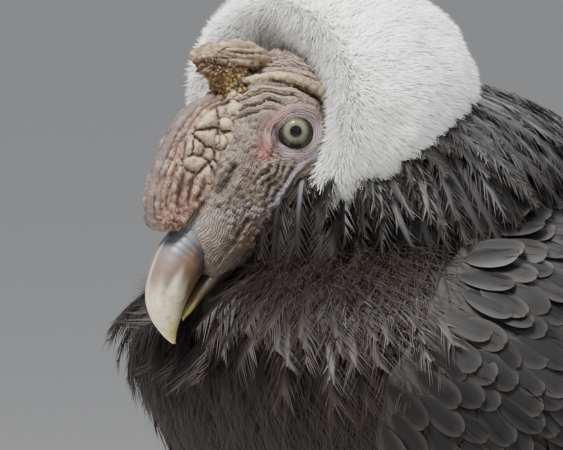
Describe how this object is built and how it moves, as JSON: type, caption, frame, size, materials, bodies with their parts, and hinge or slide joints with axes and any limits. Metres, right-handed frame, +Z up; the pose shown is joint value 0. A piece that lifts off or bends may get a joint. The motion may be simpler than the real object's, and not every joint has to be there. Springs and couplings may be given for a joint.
{
  "type": "andean condor",
  "caption": "Still, life-size male Andean condor standing with folded wings, bare wrinkled head with comb and crust, white neck ruff, dark body feathers and tail.",
  "frame": {"origin": "on the ground, at the middle of the bounding box's underside", "axes": "+Z up and longest, -Y the way the bird faces, +X its left side"},
  "size_m": [0.2942, 0.6838, 0.7303],
  "materials": {
    "head_skin": "bare wrinkled skin, matt",
    "comb_flesh": "folded flesh, slightly moist",
    "crust": "dry, grooved and crumbling",
    "bill_horn": "smooth horn, half gloss",
    "eye": "wet gloss",
    "white_down": "thick soft down",
    "black_feather": "feather, faint sheen",
    "wing_feather": "feather, faint sheen",
    "leg_skin": "scaly skin, matt",
    "claw_horn": "dark horn, half gloss"
  },
  "bodies": {
    "root": {"head": "head_skin", "comb": "comb_flesh", "comb_crust": "crust", "bill_upper": "bill_horn", "bill_lower": "bill_horn", "eye_left": "eye", "eye_right": "eye", "neck": "head_skin", "ruff_left": "white_down", "ruff_back": "white_down", "ruff_right": "white_down", "torso": "black_feather", "wing_left": "wing_feather", "wing_right": "wing_feather", "tail": "black_feather", "thigh_left": "black_feather", "thigh_right": "black_feather", "tarsus_left": "leg_skin", "tarsus_right": "leg_skin", "foot_left": "leg_skin", "foot_right": "leg_skin", "claw_inner_left": "claw_horn", "claw_middle_left": "claw_horn", "claw_outer_left": "claw_horn", "claw_hind_left": "claw_horn", "claw_inner_right": "claw_horn", "claw_middle_right": "claw_horn", "claw_outer_right": "claw_horn", "claw_hind_right": "claw_horn"}
  },
  "joints": []
}
